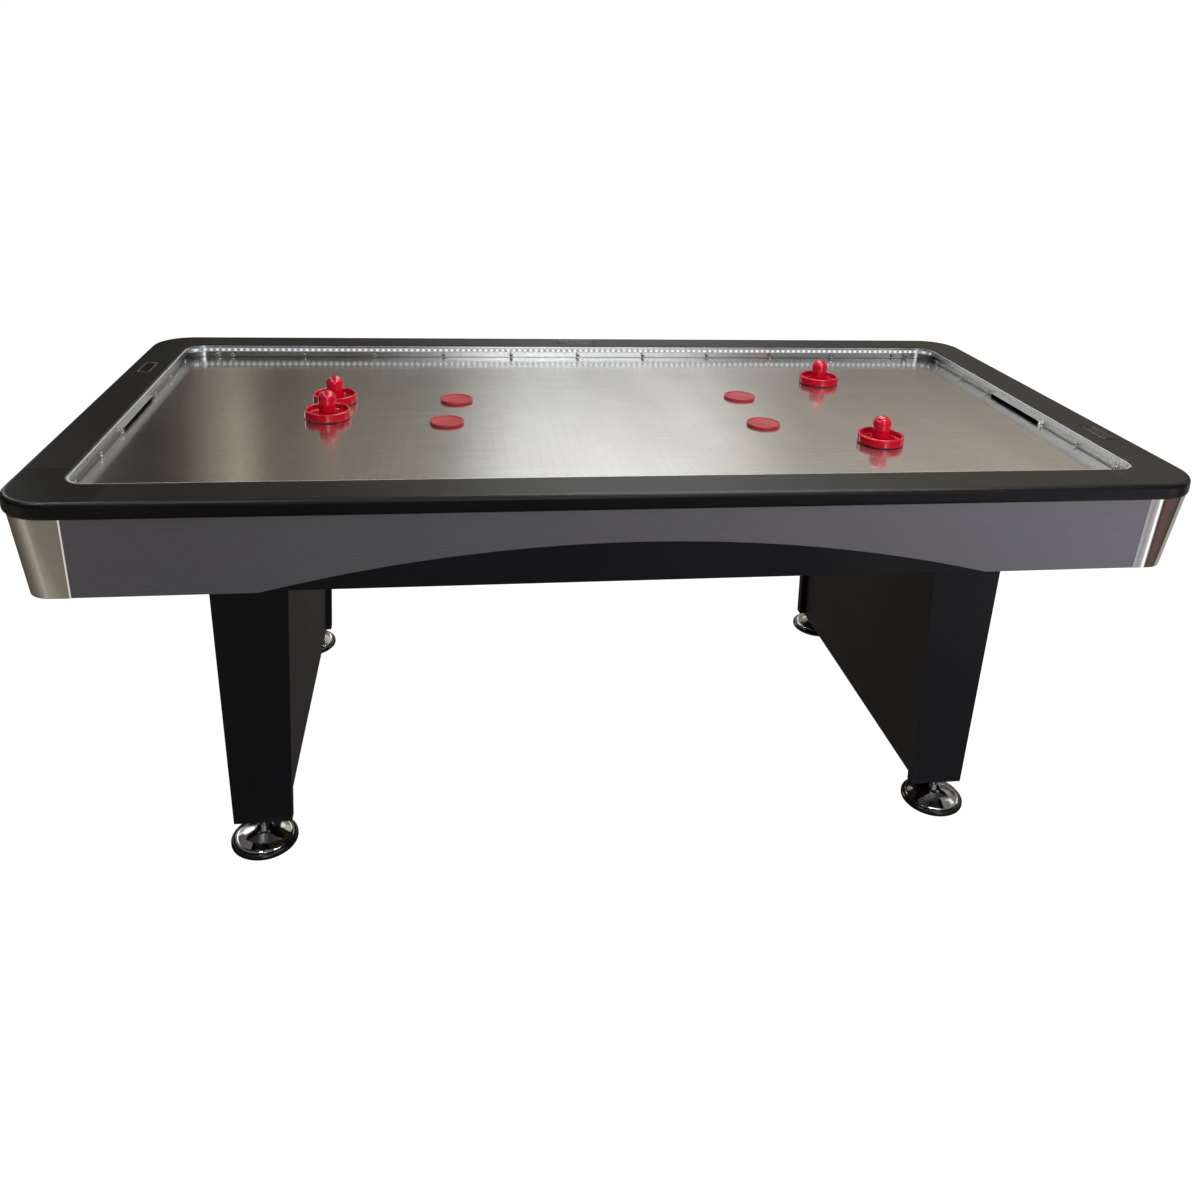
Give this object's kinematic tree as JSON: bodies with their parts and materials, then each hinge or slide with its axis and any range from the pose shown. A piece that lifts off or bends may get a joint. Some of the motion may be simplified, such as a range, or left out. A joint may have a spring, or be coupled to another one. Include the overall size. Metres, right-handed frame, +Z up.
{
  "type": "air hockey table",
  "caption": "Air hockey table with black rails round a perforated metal playing surface, arched grey aprons, tapered panel legs on levelling feet, striker mallets and pucks.",
  "frame": {"origin": "on the floor, under the centre of the table", "axes": "+X along the table's length to the right-hand goal, +Y across it towards the rear side, +Z up"},
  "size_m": [2.438, 1.27, 0.9461],
  "materials": {
    "rail_black": "satin black laminate over fibreboard",
    "graphite_laminate": "satin metallic graphite laminate",
    "black_laminate": "fine-textured black laminate",
    "fibreboard": "raw",
    "corner_aluminium": "brushed",
    "wall_aluminium": "satin",
    "brushed_skin": "brushed, glossy clear coat",
    "clear_acrylic": "clear, polished",
    "light_strip": "white flexible strip",
    "screw_steel": "zinc plated",
    "motor_steel": "satin paint",
    "chrome": "mirror",
    "foot_rubber": "moulded",
    "black_plastic": "fine texture",
    "grey_plastic": "moulded",
    "rocker_plastic": "gloss",
    "smoked_window": "gloss, dark tint",
    "mallet_red": "polished",
    "puck_red": "semi-gloss"
  },
  "bodies": {
    "table": {"front_rail": "rail_black", "rear_rail": "rail_black", "left_end_rail": "rail_black", "right_end_rail": "rail_black", "rail_corner_blocks": "rail_black", "liner_screws": "screw_steel", "side_liners": "clear_acrylic", "goal_liners": "clear_acrylic", "corner_liners": "clear_acrylic", "wall_strips": "wall_aluminium", "light_strips": "light_strip", "score_bezels": "black_plastic", "score_windows": "smoked_window", "playfield_skin": "brushed_skin", "playfield_board": "fibreboard", "plenum_ribs": "fibreboard", "plenum_floor": "fibreboard", "front_fascia": "graphite_laminate", "rear_fascia": "graphite_laminate", "end_fascias": "graphite_laminate", "front_apron": "black_laminate", "rear_apron": "black_laminate", "end_aprons": "black_laminate", "apron_corner_trims": "corner_aluminium", "goal_chutes": "black_plastic", "cross_beams": "fibreboard", "leg_plates": "black_laminate", "leg_rails": "fibreboard", "left_leg_side_panels": "black_laminate", "right_leg_side_panels": "black_laminate", "left_leg_end_boards": "black_laminate", "right_leg_end_boards": "black_laminate", "leg_bolts": "screw_steel", "leg_screw_caps": "black_plastic", "leveller_inserts": "screw_steel", "blower_housing": "black_plastic", "blower_motor": "motor_steel", "power_switch_frame": "black_plastic"},
    "front_left_foot": {"front_left_foot_dome": "chrome", "front_left_foot_pad": "foot_rubber"},
    "front_left_stud": {"front_left_foot_stud": "screw_steel"},
    "front_right_foot": {"front_right_foot_dome": "chrome", "front_right_foot_pad": "foot_rubber"},
    "front_right_stud": {"front_right_foot_stud": "screw_steel"},
    "rear_left_foot": {"rear_left_foot_dome": "chrome", "rear_left_foot_pad": "foot_rubber"},
    "rear_left_stud": {"rear_left_foot_stud": "screw_steel"},
    "rear_right_foot": {"rear_right_foot_dome": "chrome", "rear_right_foot_pad": "foot_rubber"},
    "rear_right_stud": {"rear_right_foot_stud": "screw_steel"},
    "impeller": {"blower_impeller": "grey_plastic"},
    "rocker": {"power_rocker": "rocker_plastic"},
    "left_near_mallet": {"mallet_left_near": "mallet_red"},
    "left_far_mallet": {"mallet_left_far": "mallet_red"},
    "right_far_mallet": {"mallet_right_far": "mallet_red"},
    "right_near_mallet": {"mallet_right_near": "mallet_red"},
    "left_near_puck": {"puck_left_near": "puck_red"},
    "left_far_puck": {"puck_left_far": "puck_red"},
    "right_near_puck": {"puck_right_near": "puck_red"},
    "right_far_puck": {"puck_right_far": "puck_red"}
  },
  "joints": [
    {"name": "front_left_foot_height", "type": "slide", "parent": "table", "child": "front_left_foot", "axis": [0, 0, 1], "range_m": [-0.0105, 0.007]},
    {"name": "front_left_stud_turn", "type": "hinge", "parent": "front_left_foot", "child": "front_left_stud", "pos_m": [-0.803, -0.4315, 0.05], "axis": [0, 0, 1], "range_deg": [-2161, 1441]},
    {"name": "front_right_foot_height", "type": "slide", "parent": "table", "child": "front_right_foot", "axis": [0, 0, 1], "range_m": [-0.0105, 0.007]},
    {"name": "front_right_stud_turn", "type": "hinge", "parent": "front_right_foot", "child": "front_right_stud", "pos_m": [0.803, -0.4315, 0.05], "axis": [0, 0, 1], "range_deg": [-2161, 1441]},
    {"name": "rear_left_foot_height", "type": "slide", "parent": "table", "child": "rear_left_foot", "axis": [0, 0, 1], "range_m": [-0.0105, 0.007]},
    {"name": "rear_left_stud_turn", "type": "hinge", "parent": "rear_left_foot", "child": "rear_left_stud", "pos_m": [-0.803, 0.4315, 0.05], "axis": [0, 0, 1], "range_deg": [-2161, 1441]},
    {"name": "rear_right_foot_height", "type": "slide", "parent": "table", "child": "rear_right_foot", "axis": [0, 0, 1], "range_m": [-0.0105, 0.007]},
    {"name": "rear_right_stud_turn", "type": "hinge", "parent": "rear_right_foot", "child": "rear_right_stud", "pos_m": [0.803, 0.4315, 0.05], "axis": [0, 0, 1], "range_deg": [-2161, 1441]},
    {"name": "impeller_spin", "type": "hinge", "parent": "table", "child": "impeller", "pos_m": [0, 0, 0.77], "axis": [0, 0, 1], "continuous": true},
    {"name": "rocker_tilt", "type": "hinge", "parent": "table", "child": "rocker", "pos_m": [0.45, 0.59612, 0.736], "axis": [1, 0, 0], "range_deg": [-6, 6]},
    {"name": "left_near_mallet_slide", "type": "slide", "parent": "table", "child": "left_near_mallet", "axis": [1, 0, 0], "range_m": [-0.375, 0.19]},
    {"name": "left_far_mallet_slide", "type": "slide", "parent": "table", "child": "left_far_mallet", "axis": [1, 0, 0], "range_m": [-0.38, 0.2]},
    {"name": "right_far_mallet_slide", "type": "slide", "parent": "table", "child": "right_far_mallet", "axis": [1, 0, 0], "range_m": [-0.6, 0.39]},
    {"name": "right_near_mallet_slide", "type": "slide", "parent": "table", "child": "right_near_mallet", "axis": [1, 0, 0], "range_m": [-0.575, 0.41]},
    {"name": "left_near_puck_slide", "type": "slide", "parent": "table", "child": "left_near_puck", "axis": [1, 0, 0], "range_m": [-0.19, 0.69]},
    {"name": "left_far_puck_slide", "type": "slide", "parent": "table", "child": "left_far_puck", "axis": [1, 0, 0], "range_m": [-0.2, 0.665]},
    {"name": "right_near_puck_slide", "type": "slide", "parent": "table", "child": "right_near_puck", "axis": [1, 0, 0], "range_m": [-0.69, 0.67]},
    {"name": "right_far_puck_slide", "type": "slide", "parent": "table", "child": "right_far_puck", "axis": [1, 0, 0], "range_m": [-0.665, 0.67]}
  ],
  "couplings": [
    {"joint": "front_left_stud_turn", "follows": "front_left_foot_height", "rad_per_m": 3590.4},
    {"joint": "front_right_stud_turn", "follows": "front_right_foot_height", "rad_per_m": 3590.4},
    {"joint": "rear_left_stud_turn", "follows": "rear_left_foot_height", "rad_per_m": 3590.4},
    {"joint": "rear_right_stud_turn", "follows": "rear_right_foot_height", "rad_per_m": 3590.4}
  ]
}
